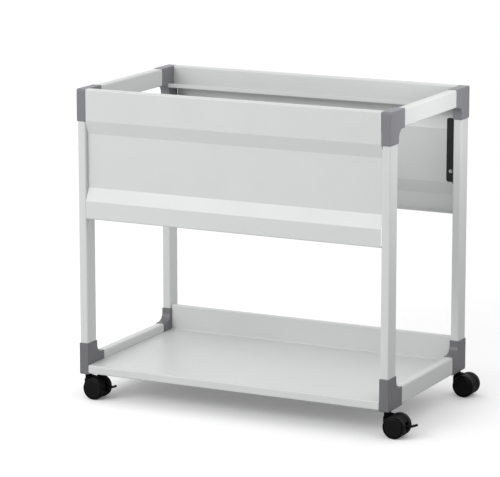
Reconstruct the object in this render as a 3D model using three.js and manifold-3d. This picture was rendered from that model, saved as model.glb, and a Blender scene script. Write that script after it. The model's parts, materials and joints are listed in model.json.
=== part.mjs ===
// Mobile file cart: two end frames of rectangular steel tube in plastic corner connectors, two pressed
// panels with hanging rails for suspension files, a sheet steel shelf and four twin-wheel castors.
// Millimetres, +Z up, the floor at Z = 0, the front of the cart towards -Y.
import * as THREE from "three";
import { mergeVertices } from "three/addons/utils/BufferGeometryUtils.js";
import Module from "manifold-3d";

const wasm = await Module();
wasm.setup();

// Frame, measured over the corner connectors
const frameLength = 755;
const frameDepth = 432;
const frameHeight = 646;
const fitGap = 0.3; // between pieces that touch

// Rectangular tube of the posts and rails
const tubeWide = 40;
const tubeThin = 20;
const tubeWall = 1.5;
const tubeCorner = 4;

// Corner connectors
const connectorProud = 1.25; // beyond the tube's faces
const connectorLegReach = 29.5; // along the post, beyond the arm
const connectorArmReach = 31; // along the rail, beyond the leg
const connectorFillet = 20; // between leg and arm
const connectorRound = 2;
const connectorEdge = 2;
const spigotLength = 30;

// Front and rear panels
const panelSheet = 1.2;
const panelBend = 2;
const panelHeight = 290;
const topBand = 70;
const bottomBand = 40;
const slantHeight = 30;
const recessDepth = 11;
const topReturn = 20;
const lipHeight = 44;
const bottomReturn = 15;

// Hanging rails under the panels' lips; this reach sets the hook edges 330 apart
const hookReach = 34;
const hookEdge = 10;
const hookSheet = 1.5;
const hookBend = 1.5;
const clipLeg = 10; // behind the lip
const hookGap = 1; // to the connector at each end

// Panel brackets with their studs and nuts
const bracketSheet = 2;
const bracketBend = 2;
const bracketLeg = 26;
const bracketMargin = 2; // under the top connector, and to the lower end of the panel's recess
const bracketHoleInset = 25; // from the bracket's lower end, and from the end of the post's spigot
const studReach = 8; // beyond the bracket
const nutWall = 1.2;
const nutHeight = 4;

// Pan-head screws
const screwDiameter = 5;
const screwHeadRim = 2.25;
const screwHeadHeight = 3;
const screwReach = 6; // beyond the wall that it bites into

// Shelf
const shelfSheet = 1.2;
const shelfBend = 2;
const shelfSurface = 22.6; // above the connectors' underside
const shelfLift = 3; // of the flanges' lower edge above the connectors' underside
const shelfHem = 14;
const shelfScrewInset = 22; // from the end of the side rail's spigot
const upstandSet = 35.5; // from the rear of the frame to the upstand's face
const upstandHeight = 58;
const upstandReturn = 12;
const upstandHem = 8;

// Twin-wheel castors, trailing towards +X
const wheelDiameter = 50;
const wheelWidth = 15.1;
const wheelEdge = 3.4;
const wheelRim = 3.8; // round the raised disc on the outer side
const wheelDiscRise = 0.8;
const wheelCover = 5.2; // of the wheel beyond the end of its bore
const wheelGap = 0.6; // to the hood
const wheelHeadroom = 6; // under the connector
const axleDiameter = 6;
const castorTrail = 22.5;
const hoodInset = 1; // inside the wheel's rim
const hoodNeck = 2.2; // of the boss above the hood's shoulder
const hoodFloorGap = 8;
const stemDiameter = 10;
const stemLength = 35; // above the connector's underside
const stemSeat = 12; // inside the hood
const stemWall = 2.6; // of the hood round the stem
const grooveHeight = 6;
const collarRim = 2;
const collarHeight = 1.2;
const chamfer = 0.8;

// Brake levers of the front castors
const leverPivotX = 14; // from the axle
const leverPivotZ = 6; // above the axle
const leverKneeX = 3; // beyond the wheel's rim
const leverKneeZ = 3; // above the axle
const leverTipX = 22; // beyond the wheel's rim
const leverTipZ = 10; // above the axle
const leverSheet = 5;
const leverCheek = 2.2; // of the hood on each side of the lever
const leverPin = 4.4;
const leverHubWall = 2;
const leverTravel = 18; // degrees, pressed down to brake

// Roundness of the facets
const arcSteps = 3;
const roundSteps = 24;
const smallSteps = 12;
const edgeSteps = 2;
const weldDistance = 1e-4;

// Places that follow from the sizes above
const wheelRadius = wheelDiameter / 2;
const frameBottom = wheelDiameter + wheelHeadroom;
const frameTop = frameBottom + frameHeight;
const connectorThick = tubeThin + 2 * connectorProud;
const connectorWide = tubeWide + 2 * connectorProud;
const connectorLeg = connectorWide + connectorLegReach;
const connectorArm = connectorWide + connectorArmReach;
const halfLength = frameLength / 2;
const halfDepth = frameDepth / 2;
const postX = halfLength - connectorThick / 2;
const postY = halfDepth - connectorWide / 2;
const tubeInnerX = postX - tubeThin / 2; // inner face of the posts and rails
const railHalf = halfDepth - connectorArm - fitGap;
const panelLength = 2 * (tubeInnerX - fitGap);
const hookLength = 2 * (halfLength - connectorThick - hookGap);
const fieldY = halfDepth - recessDepth; // outer face of the panel's recess
const recessTop = frameTop - topBand - slantHeight;
const recessBottom = frameTop - panelHeight + bottomBand + slantHeight;
const bracketX = tubeInnerX - fitGap;
const bracketY = fieldY - panelSheet - fitGap;
const bracketTop = frameTop - connectorLeg - bracketMargin;
const bracketBottom = recessBottom + bracketMargin;
const bracketHoleSet = (bracketLeg + bracketSheet) / 2; // from the bracket's bend
const bracketScrewY = bracketY - bracketHoleSet;
const bracketScrewZ = frameTop - connectorLeg - spigotLength - bracketHoleInset;
const studX = bracketX - bracketHoleSet;
const studZ = bracketBottom + bracketHoleInset;
const shelfTop = frameBottom + shelfSurface;
const shelfFlangeBottom = frameBottom + shelfLift;
const shelfHalfLength = tubeInnerX - fitGap;
const shelfScrewY = railHalf - spigotLength - shelfScrewInset;
const shelfScrewZ = (shelfTop - shelfSheet + shelfFlangeBottom) / 2;
const holeDiameter = screwDiameter + 2 * fitGap;
const hoodWidth = stemDiameter + 2 * (fitGap + stemWall);
const hoodRadius = wheelRadius - hoodInset;
const hoodTop = frameBottom - collarHeight - 2 * fitGap;
const wheelInnerY = hoodWidth / 2 + wheelGap;
const axleEndY = wheelInnerY + wheelWidth - wheelCover - fitGap;
const leverWidth = hoodWidth - 2 * (leverCheek + fitGap);
const leverHub = leverPin + 2 * leverHubWall;

const paint = new THREE.MeshStandardMaterial({ color: 0xd4d5d4, roughness: 0.5, metalness: 0 });
const connectorPlastic = new THREE.MeshStandardMaterial({ color: 0x7f7f86, roughness: 0.6, metalness: 0 });
const blackPlastic = new THREE.MeshStandardMaterial({ color: 0x17181a, roughness: 0.45, metalness: 0 });
const blackCoat = new THREE.MeshStandardMaterial({ color: 0x1c1d1f, roughness: 0.6, metalness: 0 });
const zinc = new THREE.MeshStandardMaterial({ color: 0xb6babd, roughness: 0.35, metalness: 1 });

const xAxis = new THREE.Vector3(1, 0, 0);
const yAxis = new THREE.Vector3(0, 1, 0);
const zAxis = new THREE.Vector3(0, 0, 1);
const backwards = yAxis.clone().negate();

// A closed mesh as a solid that can be joined and cut; triangles that shrank to a line are dropped.
function solidOf(geometry) {
  const bare = new THREE.BufferGeometry();
  bare.setAttribute("position", geometry.getAttribute("position"));
  bare.setIndex(geometry.index);
  const merged = mergeVertices(bare, weldDistance);
  const corners = merged.index.array;
  const triVerts = [];
  for (let i = 0; i < corners.length; i += 3) {
    const [a, b, c] = corners.slice(i, i + 3);
    if (a !== b && b !== c && c !== a) {
      triVerts.push(a, b, c);
    }
  }
  const mesh = new wasm.Mesh({
    numProp: 3,
    vertProperties: merged.attributes.position.array,
    triVerts: new Uint32Array(triVerts),
  });
  return new wasm.Manifold(mesh);
}

// A solid back as drawable geometry
function geometryOf(solid) {
  const mesh = solid.getMesh();
  const geometry = new THREE.BufferGeometry();
  geometry.setAttribute("position", new THREE.BufferAttribute(mesh.vertProperties, 3));
  geometry.setIndex(new THREE.BufferAttribute(mesh.triVerts, 1));
  geometry.computeVertexNormals();
  return geometry;
}

function joined(...geometries) {
  return geometryOf(geometries.map(solidOf).reduce((whole, piece) => whole.add(piece)));
}

function cut(geometry, ...tools) {
  return geometryOf(tools.map(solidOf).reduce((rest, tool) => rest.subtract(tool), solidOf(geometry)));
}

// Points along a line of corners [x, y, radius], each corner rounded by its own radius
function roundedLine(corners, closed) {
  const points = [];
  corners.forEach(([x, y, radius = 0], i) => {
    const corner = new THREE.Vector2(x, y);
    const isEnd = !closed && (i === 0 || i === corners.length - 1);
    if (isEnd || radius === 0) {
      points.push(corner);
      return;
    }
    const [beforeX, beforeY] = corners.at(i - 1);
    const [afterX, afterY] = corners[(i + 1) % corners.length];
    const back = new THREE.Vector2(beforeX, beforeY).sub(corner).normalize();
    const ahead = new THREE.Vector2(afterX, afterY).sub(corner).normalize();
    const half = Math.acos(THREE.MathUtils.clamp(back.dot(ahead), -1, 1)) / 2;
    const middle = back.clone().add(ahead).normalize();
    const centre = corner.clone().addScaledVector(middle, radius / Math.sin(half));
    const reach = radius / Math.tan(half);
    const start = corner.clone().addScaledVector(back, reach).sub(centre).angle();
    const end = corner.clone().addScaledVector(ahead, reach).sub(centre).angle();
    const turn = THREE.MathUtils.euclideanModulo(end - start + Math.PI, 2 * Math.PI) - Math.PI;
    for (let step = 0; step <= arcSteps; step++) {
      const angle = start + (turn * step) / arcSteps;
      points.push(new THREE.Vector2(Math.cos(angle), Math.sin(angle)).multiplyScalar(radius).add(centre));
    }
  });
  return points;
}

// Cross-section of folded sheet: the line is its outer face, and the metal lies on the left of the line.
function foldedSection(line, thickness, bend) {
  const normals = line.slice(1).map(([x, y], i) => {
    const [fromX, fromY] = line[i];
    return new THREE.Vector2(fromY - y, x - fromX).normalize();
  });
  const before = (i) => normals[Math.max(i - 1, 0)];
  const after = (i) => normals[Math.min(i, normals.length - 1)];
  const radiusAt = (i, onOuterFace) => {
    const turnsLeft = before(i).cross(after(i)) > 0;
    return turnsLeft === onOuterFace ? bend + thickness : bend;
  };
  const outer = line.map(([x, y], i) => [x, y, radiusAt(i, true)]);
  const inner = line.map(([x, y], i) => {
    const stretch = thickness / (1 + before(i).dot(after(i)));
    const offset = before(i).clone().add(after(i)).multiplyScalar(stretch);
    return [x + offset.x, y + offset.y, radiusAt(i, false)];
  });
  return new THREE.Shape([...roundedLine(outer, false), ...roundedLine(inner, false).reverse()]);
}

function roundedRectangle(width, height, radius) {
  const x = width / 2;
  const y = height / 2;
  const corners = [
    [-x, -y, radius],
    [x, -y, radius],
    [x, y, radius],
    [-x, y, radius],
  ];
  return roundedLine(corners, true);
}

// Extrusion of a length, centred on the plane that the shape is drawn in
function alongZ(shape, length) {
  const geometry = new THREE.ExtrudeGeometry(shape, { depth: length, bevelEnabled: false });
  return geometry.translate(0, 0, -length / 2);
}

// The shape is drawn in Y and Z.
function alongX(shape, length) {
  return alongZ(shape, length).applyMatrix4(new THREE.Matrix4().makeBasis(yAxis, zAxis, xAxis));
}

// The shape is drawn in X and Z.
function alongY(shape, length) {
  return alongZ(shape, length).applyMatrix4(new THREE.Matrix4().makeBasis(xAxis, zAxis, backwards));
}

function box(lowX, highX, lowY, highY, lowZ, highZ) {
  const geometry = new THREE.BoxGeometry(highX - lowX, highY - lowY, highZ - lowZ);
  return geometry.translate((lowX + highX) / 2, (lowY + highY) / 2, (lowZ + highZ) / 2);
}

// A round bar along Y, from one place on Y to another
function roundBar(diameter, fromY, toY, steps) {
  const geometry = new THREE.CylinderGeometry(diameter / 2, diameter / 2, toY - fromY, steps);
  return geometry.translate(0, (fromY + toY) / 2, 0);
}

// A turned piece, its profile given as [radius, height] along Y
function turned(profile, steps) {
  const points = profile.map(([radius, height]) => new THREE.Vector2(radius, height));
  return geometryOf(solidOf(new THREE.LatheGeometry(points, steps)));
}

const pointAlongX = (geometry) => geometry.rotateZ(-Math.PI / 2);
const pointAlongZ = (geometry) => geometry.rotateX(Math.PI / 2);

function tubeSection() {
  const shape = new THREE.Shape(roundedRectangle(tubeThin, tubeWide, tubeCorner));
  const corner = Math.max(tubeCorner - tubeWall, fitGap);
  const bore = roundedRectangle(tubeThin - 2 * tubeWall, tubeWide - 2 * tubeWall, corner);
  shape.holes.push(new THREE.Path(bore));
  return shape;
}

function spigotSection() {
  const shrink = 2 * (tubeWall + fitGap);
  const corner = Math.max(tubeCorner - tubeWall - fitGap, fitGap);
  return new THREE.Shape(roundedRectangle(tubeThin - shrink, tubeWide - shrink, corner));
}

// Hole for a screw that points along X
function screwHole(x, y, z) {
  const reach = 2 * tubeWall + bracketSheet + shelfSheet;
  return pointAlongX(roundBar(holeDiameter, -reach, reach, smallSteps)).translate(x, y, z);
}

// Upright tube between two connectors, with a hole in its inner wall for the bracket's screw
function post() {
  const tube = alongZ(tubeSection(), frameHeight - 2 * (connectorLeg + fitGap));
  tube.translate(postX, postY, (frameBottom + frameTop) / 2);
  return cut(tube, screwHole(tubeInnerX, bracketScrewY, bracketScrewZ));
}

// Tube along the depth between two connectors
function rail(height) {
  return pointAlongZ(alongZ(tubeSection(), 2 * railHalf)).translate(postX, 0, height);
}

function endRail() {
  return rail(frameTop - connectorWide / 2);
}

// The side rails take the shelf's screws.
function sideRail() {
  const holes = [-1, 1].map((side) => screwHole(tubeInnerX, side * shelfScrewY, shelfScrewZ));
  return cut(rail(frameBottom + connectorWide / 2), ...holes);
}

// L-shaped block with a rounded inner corner, a spigot for the post and one for the rail.
// It is drawn for the top, inwards along -Y and down along -Z from its outer corner.
function connectorBlock() {
  const roomForFillet = Math.min(connectorLegReach, connectorArmReach) - connectorEdge;
  const outline = [
    [0, 0, connectorEdge + connectorRound],
    [0, -connectorLeg],
    [-connectorWide, -connectorLeg],
    [-connectorWide, -connectorWide, Math.min(connectorFillet, roomForFillet)],
    [-connectorArm, -connectorWide],
    [-connectorArm, 0],
  ];
  const block = new THREE.ExtrudeGeometry(new THREE.Shape(roundedLine(outline, true)), {
    depth: connectorThick - 2 * connectorEdge,
    bevelThickness: connectorEdge,
    bevelSize: connectorEdge,
    bevelOffset: -connectorEdge,
    bevelSegments: edgeSteps,
  });
  block.translate(0, 0, connectorEdge - connectorThick / 2);
  block.applyMatrix4(new THREE.Matrix4().makeBasis(yAxis, zAxis, xAxis));
  const root = connectorEdge; // how far a spigot starts inside the block
  const postSpigot = alongZ(spigotSection(), spigotLength + root);
  postSpigot.translate(0, -connectorWide / 2, -connectorLeg - (spigotLength - root) / 2);
  const railSpigot = pointAlongZ(alongZ(spigotSection(), spigotLength + root));
  railSpigot.translate(0, -connectorArm - (spigotLength - root) / 2, -connectorWide / 2);
  return joined(block, postSpigot, railSpigot);
}

function topCorner() {
  return connectorBlock().translate(postX, halfDepth, frameTop);
}

// The bottom connector is the top one upside down, with a socket for the castor's stem.
function bottomCorner() {
  const block = connectorBlock().rotateY(Math.PI).translate(postX, halfDepth, frameBottom);
  const socket = roundBar(stemDiameter + 2 * fitGap, -connectorEdge, stemLength + fitGap, roundSteps);
  return cut(block, pointAlongZ(socket).translate(postX, postY, frameBottom));
}

// Pressed panel at the rear: a return and a lip at the top, a recessed field, a hem at the bottom,
// and weld studs on the back of the field; its upper corners are notched round the connectors.
function panel() {
  const bottom = frameTop - panelHeight;
  const line = [
    [halfDepth - bottomReturn, bottom],
    [halfDepth, bottom],
    [halfDepth, bottom + bottomBand],
    [fieldY, recessBottom],
    [fieldY, recessTop],
    [halfDepth, frameTop - topBand],
    [halfDepth, frameTop],
    [halfDepth - topReturn, frameTop],
    [halfDepth - topReturn, frameTop - lipHeight],
  ];
  const sheet = alongX(foldedSection(line, panelSheet, panelBend), panelLength);
  const studEnd = bracketY - bracketSheet - studReach;
  const studs = [-1, 1].map((side) => {
    const stud = roundBar(screwDiameter, studEnd, fieldY - panelSheet / 2, smallSteps);
    return stud.translate(side * studX, 0, studZ);
  });
  const low = frameTop - connectorLeg - fitGap;
  const notches = [-1, 1].map((side) => connectorRoom(side * halfLength, halfDepth, low, 2 * frameTop));
  return cut(joined(sheet, ...studs), ...notches);
}

// Rail under the panel's lip: a leg behind the lip, a ledge inwards and an upright edge for the hooks
function hangingRail() {
  const legY = halfDepth - topReturn + panelSheet + fitGap + hookSheet;
  const ledge = frameTop - lipHeight - hookBend - hookSheet; // the lip's edge stays above the bend
  const line = [
    [legY - hookReach, ledge + hookEdge],
    [legY - hookReach, ledge],
    [legY, ledge],
    [legY, ledge + hookSheet + clipLeg],
  ];
  return alongX(foldedSection(line, hookSheet, hookBend), hookLength);
}

// Angle between a post and the back of a panel
function bracket() {
  const line = [
    [bracketX, bracketY - bracketLeg],
    [bracketX, bracketY],
    [bracketX - bracketLeg, bracketY],
  ];
  const angle = alongZ(foldedSection(line, bracketSheet, bracketBend), bracketTop - bracketBottom);
  angle.translate(0, 0, (bracketTop + bracketBottom) / 2);
  const reach = 2 * bracketSheet;
  const studHole = roundBar(holeDiameter, bracketY - reach, bracketY + reach, smallSteps);
  studHole.translate(studX, 0, studZ);
  return cut(angle, screwHole(bracketX, bracketScrewY, bracketScrewZ), studHole);
}

// Pan-head screw that points along X, its head seated at the given place
function screw(seatX, y, z, grip) {
  const radius = screwDiameter / 2;
  const head = radius + screwHeadRim;
  const tip = grip + screwReach;
  const profile = [
    [0, -screwHeadHeight],
    [head - chamfer, -screwHeadHeight],
    [head, chamfer - screwHeadHeight],
    [head, 0],
    [radius, 0],
    [radius, tip - chamfer],
    [radius - chamfer, tip],
    [0, tip],
  ];
  return pointAlongX(turned(profile, smallSteps)).translate(seatX, y, z);
}

function bracketScrew() {
  const grip = bracketSheet + tubeWall + 2 * fitGap;
  return screw(bracketX - bracketSheet - fitGap, bracketScrewY, bracketScrewZ, grip);
}

function shelfScrew() {
  const grip = shelfSheet + tubeWall + 2 * fitGap;
  return screw(shelfHalfLength - shelfSheet - fitGap, shelfScrewY, shelfScrewZ, grip);
}

// Hexagon nut on a panel's stud
function panelNut() {
  const flats = 6;
  const bore = screwDiameter / 2 + fitGap;
  const reach = (bore + nutWall) / Math.cos(Math.PI / flats);
  const hexagon = roundBar(2 * reach, -nutHeight, 0, flats);
  const hole = roundBar(2 * bore, -2 * nutHeight, nutHeight, smallSteps);
  return cut(hexagon, hole).translate(studX, bracketY - bracketSheet - fitGap, studZ);
}

// Shelf tray: front flange with a hem, surface, rear upstand with a return, and side flanges between
// the connectors; its corners are notched round the connectors.
function shelf() {
  const upstandY = halfDepth - upstandSet;
  const upstandTop = shelfTop + upstandHeight;
  const line = [
    [upstandY + upstandReturn, upstandTop - upstandHem],
    [upstandY + upstandReturn, upstandTop],
    [upstandY, upstandTop],
    [upstandY, shelfTop],
    [-halfDepth, shelfTop],
    [-halfDepth, shelfFlangeBottom],
    [shelfHem - halfDepth, shelfFlangeBottom],
  ];
  const tray = alongX(foldedSection(line, shelfSheet, shelfBend), 2 * shelfHalfLength);
  const sideFlange = box(
    shelfHalfLength - shelfSheet,
    shelfHalfLength,
    -railHalf,
    railHalf,
    shelfFlangeBottom,
    shelfTop - shelfSheet / 2,
  );
  const flanges = [sideFlange, sideFlange.clone().rotateZ(Math.PI)];
  const notchTop = frameBottom + connectorLeg + fitGap;
  const tools = [];
  for (const sideX of [-1, 1]) {
    for (const sideY of [-1, 1]) {
      tools.push(connectorRoom(sideX * halfLength, sideY * halfDepth, 0, notchTop));
      tools.push(screwHole(sideX * shelfHalfLength, sideY * shelfScrewY, shelfScrewZ));
    }
  }
  return cut(joined(tray, ...flanges), ...tools);
}

// Room for a connector whose outer corner is at the given place, between two heights
function connectorRoom(x, y, low, high) {
  const reachX = connectorThick + fitGap;
  const reachY = connectorArm + fitGap;
  return box(x - reachX, x + reachX, y - reachY, y + reachY, low, high);
}

// Steel stem with a collar under the connector and a groove half way up its socket
function castorStem() {
  const radius = stemDiameter / 2;
  const collarTop = frameBottom - fitGap;
  const top = frameBottom + stemLength;
  const grooveTop = frameBottom + (stemLength + grooveHeight) / 2;
  const profile = [
    [0, hoodTop - stemSeat],
    [radius, hoodTop - stemSeat],
    [radius, collarTop - collarHeight],
    [radius + collarRim, collarTop - collarHeight],
    [radius + collarRim, collarTop],
    [radius, collarTop],
    [radius, grooveTop - grooveHeight],
    [radius - chamfer, grooveTop - grooveHeight],
    [radius - chamfer, grooveTop],
    [radius, grooveTop],
    [radius, top - chamfer],
    [radius - chamfer, top],
    [0, top],
  ];
  return pointAlongZ(turned(profile, smallSteps));
}

// Hood between the wheels: a round cheek about the axle and a shoulder that runs on to a boss for the stem.
// On a braked castor it has a slot for the lever and holes for the lever's pins.
function castorHood(braked) {
  const half = hoodWidth / 2;
  const seat = hoodTop - stemSeat;
  const outline = [
    [0, hoodTop - hoodNeck],
    [-half, seat],
    [-half, wheelRadius],
    [castorTrail, hoodFloorGap],
    [castorTrail, wheelRadius + hoodRadius],
  ];
  const nose = alongY(new THREE.Shape(roundedLine(outline, true)), hoodWidth);
  const cheek = roundBar(2 * hoodRadius, -half, half, roundSteps).translate(castorTrail, 0, wheelRadius);
  const boss = pointAlongZ(roundBar(hoodWidth, wheelRadius, hoodTop, roundSteps));
  const bore = stemDiameter + 2 * fitGap;
  const stemHole = pointAlongZ(roundBar(bore, seat - fitGap, 2 * hoodTop, smallSteps));
  const axleHole = roundBar(axleDiameter + 2 * fitGap, -hoodWidth, hoodWidth, smallSteps);
  axleHole.translate(castorTrail, 0, wheelRadius);
  const farX = castorTrail + 2 * hoodRadius;
  const underside = box(-farX, farX, -hoodWidth, hoodWidth, -hoodRadius, hoodFloorGap);
  const tools = [stemHole, axleHole, underside];
  if (braked) {
    const pinHole = roundBar(leverPin + 2 * fitGap, -hoodWidth, hoodWidth, smallSteps);
    tools.push(leverSlot(), atLeverPivot(pinHole));
  }
  return cut(joined(nose, cheek, boss), ...tools);
}

function atLeverPivot(geometry) {
  return geometry.translate(castorTrail + leverPivotX, 0, wheelRadius + leverPivotZ);
}

// Room for the lever's hub, and for its arm from rest to the pressed position
function leverSlot() {
  const room = leverHub / 2 + fitGap;
  const half = leverWidth / 2 + fitGap;
  const swing = (hoodRadius - leverPivotX) * Math.sin(THREE.MathUtils.degToRad(leverTravel));
  return atLeverPivot(box(-room, 2 * hoodRadius, -half, half, -room - leverSheet - swing, room));
}

// Tongue with a hub and two short pins, bent upwards beyond the wheels
function brakeLever() {
  const line = [
    [castorTrail + wheelRadius + leverTipX, wheelRadius + leverTipZ],
    [castorTrail + wheelRadius + leverKneeX, wheelRadius + leverKneeZ],
    [castorTrail + leverPivotX, wheelRadius + leverPivotZ],
  ];
  const arm = alongY(foldedSection(line, leverSheet, leverSheet), leverWidth);
  const hub = atLeverPivot(roundBar(leverHub, -leverWidth / 2, leverWidth / 2, smallSteps));
  const pinEnd = hoodWidth / 2 - fitGap;
  const pins = atLeverPivot(roundBar(leverPin, -pinEnd, pinEnd, smallSteps));
  return joined(arm, hub, pins);
}

function castorAxle() {
  const radius = axleDiameter / 2;
  const profile = [
    [0, -axleEndY],
    [radius - chamfer, -axleEndY],
    [radius, chamfer - axleEndY],
    [radius, axleEndY - chamfer],
    [radius - chamfer, axleEndY],
    [0, axleEndY],
  ];
  return turned(profile, smallSteps).translate(castorTrail, 0, wheelRadius);
}

// Wheel on the +Y side: a blind bore from the inside, a rounded tread and a raised disc on the outside
function castorWheel() {
  const outerY = wheelInnerY + wheelWidth;
  const rimY = outerY - wheelDiscRise;
  const boreEndY = outerY - wheelCover;
  const bore = axleDiameter / 2 + fitGap;
  const disc = wheelRadius - wheelRim;
  const edge = Math.min(wheelEdge, wheelRim);
  const tread = [
    [bore, wheelInnerY],
    [wheelRadius, wheelInnerY, edge / 2],
    [wheelRadius, rimY, edge],
    [disc, rimY],
  ];
  const profile = [
    [0, boreEndY],
    [bore, boreEndY],
    ...roundedLine(tread, false).map((point) => [point.x, point.y]),
    [disc - wheelDiscRise, outerY],
    [0, outerY],
  ];
  return turned(profile, roundSteps).translate(castorTrail, 0, wheelRadius);
}

function named(name, geometry, material) {
  const mesh = new THREE.Mesh(geometry, material);
  mesh.name = name;
  return mesh;
}

// Everything that repeats at a corner, mirrored from the rear right one
function cornerGroup(name, sideX, sideY) {
  const corner = new THREE.Group();
  corner.scale.set(sideX, sideY, 1);
  corner.add(
    named(`${name}_post`, post(), paint),
    named(`${name}_top_corner`, topCorner(), connectorPlastic),
    named(`${name}_bottom_corner`, bottomCorner(), connectorPlastic),
    named(`${name}_panel_bracket`, bracket(), blackCoat),
    named(`${name}_bracket_screw`, bracketScrew(), zinc),
    named(`${name}_panel_nut`, panelNut(), zinc),
    named(`${name}_shelf_screw`, shelfScrew(), zinc),
  );
  return corner;
}

function sideGroup(name, sideX) {
  const side = new THREE.Group();
  side.scale.set(sideX, 1, 1);
  side.add(named(`${name}_end_rail`, endRail(), paint), named(`${name}_side_rail`, sideRail(), paint));
  return side;
}

function panelGroup(name, sideY) {
  const face = new THREE.Group();
  face.scale.set(1, sideY, 1);
  face.add(named(`${name}_panel`, panel(), paint), named(`${name}_hanging_rail`, hangingRail(), paint));
  return face;
}

// A castor about its swivel axis; the front ones have brakes.
function castorGroup(name, sideX, sideY) {
  const castor = new THREE.Group();
  const braked = sideY < 0;
  castor.position.set(sideX * postX, sideY * postY, 0);
  castor.add(
    named(`${name}_castor_stem`, castorStem(), zinc),
    named(`${name}_castor_hood`, castorHood(braked), blackPlastic),
    named(`${name}_castor_axle`, castorAxle(), zinc),
  );
  for (const [wheelName, wheelSide] of faces) {
    const wheel = named(`${name}_castor_${wheelName}_wheel`, castorWheel(), blackPlastic);
    wheel.scale.set(1, wheelSide, 1);
    castor.add(wheel);
  }
  if (braked) {
    castor.add(named(`${name}_brake_lever`, brakeLever(), blackPlastic));
  }
  return castor;
}

const cart = new THREE.Group();
const sides = [["left", -1], ["right", 1]];
const faces = [["front", -1], ["rear", 1]];
cart.add(named("shelf", shelf(), paint));
for (const [faceName, sideY] of faces) {
  cart.add(panelGroup(faceName, sideY));
  for (const [sideName, sideX] of sides) {
    cart.add(cornerGroup(`${faceName}_${sideName}`, sideX, sideY));
    cart.add(castorGroup(`${faceName}_${sideName}`, sideX, sideY));
  }
}
for (const [sideName, sideX] of sides) {
  cart.add(sideGroup(sideName, sideX));
}

// The castors trail to one side, so the cart is moved to stand over the middle of its footprint.
const footprint = new THREE.Box3().setFromObject(cart).getCenter(new THREE.Vector3());
cart.position.set(-footprint.x, -footprint.y, 0);

export default cart;
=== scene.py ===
import json
import math

import bmesh
import bpy
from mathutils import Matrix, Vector

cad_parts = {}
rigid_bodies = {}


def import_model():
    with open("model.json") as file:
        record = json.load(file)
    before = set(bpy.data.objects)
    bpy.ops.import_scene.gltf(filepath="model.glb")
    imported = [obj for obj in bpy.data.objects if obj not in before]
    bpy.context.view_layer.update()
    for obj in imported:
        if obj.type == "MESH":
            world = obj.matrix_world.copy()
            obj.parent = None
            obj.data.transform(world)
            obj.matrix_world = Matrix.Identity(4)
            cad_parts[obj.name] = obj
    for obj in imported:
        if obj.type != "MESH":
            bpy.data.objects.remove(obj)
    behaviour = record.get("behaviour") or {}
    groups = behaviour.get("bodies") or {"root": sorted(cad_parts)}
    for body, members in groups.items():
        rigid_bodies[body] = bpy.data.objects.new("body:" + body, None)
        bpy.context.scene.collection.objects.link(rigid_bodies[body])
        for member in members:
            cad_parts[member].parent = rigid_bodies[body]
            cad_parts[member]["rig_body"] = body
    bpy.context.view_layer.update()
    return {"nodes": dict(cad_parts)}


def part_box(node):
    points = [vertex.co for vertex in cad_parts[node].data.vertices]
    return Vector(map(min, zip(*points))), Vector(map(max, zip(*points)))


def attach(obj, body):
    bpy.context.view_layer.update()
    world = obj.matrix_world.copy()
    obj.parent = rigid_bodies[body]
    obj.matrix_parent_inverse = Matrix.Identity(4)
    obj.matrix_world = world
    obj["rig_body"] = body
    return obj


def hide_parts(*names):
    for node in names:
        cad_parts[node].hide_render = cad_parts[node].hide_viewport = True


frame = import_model()
print("frame loaded:", len(frame["nodes"]), "nodes")

mm = 0.001
axisX, axisY, axisZ = range(3)
aligned = 0.99  # cosine from which an edge or a normal counts as lying along an axis
past = 1 * mm  # how far a cutting tool reaches past what it cuts
roundSides = 48  # of a round bar that is given no other number
shelfLow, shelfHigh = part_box("shelf")
middleX = (shelfLow.x + shelfHigh.x) / 2  # the castors trail to one side, so the frame isn't centred on X

# where a piece repeats, with its sides along X and Y
corners = {"front_left": (-1, -1), "front_right": (1, -1), "rear_left": (-1, 1), "rear_right": (1, 1)}
ends = {"left": (-1, 1), "right": (1, 1)}
faces = {"front": (1, -1), "rear": (1, 1)}


# selecting and shaping

def clearSelection():
    if bpy.context.mode != "OBJECT":
        bpy.ops.object.mode_set(mode="OBJECT")
    bpy.ops.object.select_all(action="DESELECT")


def activate(piece):
    clearSelection()
    piece.select_set(True)
    bpy.context.view_layer.objects.active = piece


def startEdit(piece):
    activate(piece)
    bpy.ops.object.mode_set(mode="EDIT")


def endEdit():
    bpy.ops.object.mode_set(mode="OBJECT")


def pick(kind, wanted):  # kind is VERT, EDGE or FACE, wanted is asked about each one
    bpy.ops.mesh.select_mode(type=kind)
    bpy.ops.mesh.select_all(action="DESELECT")
    data = bpy.context.edit_object.data
    mesh = bmesh.from_edit_mesh(data)
    for part in {"VERT": mesh.verts, "EDGE": mesh.edges, "FACE": mesh.faces}[kind]:
        if wanted(part):
            part.select_set(True)
    mesh.select_flush_mode()
    bmesh.update_edit_mesh(data)


def pickAll():
    bpy.ops.mesh.select_all(action="SELECT")


def near(a, b, gap=0.02 * mm):
    return abs(a - b) < gap


def middleOf(edge):
    return (edge.verts[0].co + edge.verts[1].co) / 2


def runsAlong(edge, axis):
    way = edge.verts[1].co - edge.verts[0].co
    return abs(way[axis]) > aligned * way.length


def edgeAlongX(y, z):  # edges along X that pass a place in Y and Z
    return lambda edge: runsAlong(edge, axisX) and near(middleOf(edge).y, y) and near(middleOf(edge).z, z)


def edgeIn(axis, at):  # edges in the plane across an axis
    return lambda edge: all(near(vert.co[axis], at) for vert in edge.verts)


def faceOn(axis, at, sign):  # flat faces in the plane across an axis, looking along it
    return lambda face: near(face.calc_center_median()[axis], at) and face.normal[axis] * sign > aligned


def extrude(x=0, y=0, z=0):
    bpy.ops.mesh.extrude_region_move(TRANSFORM_OT_translate={"value": (x, y, z)})


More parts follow.
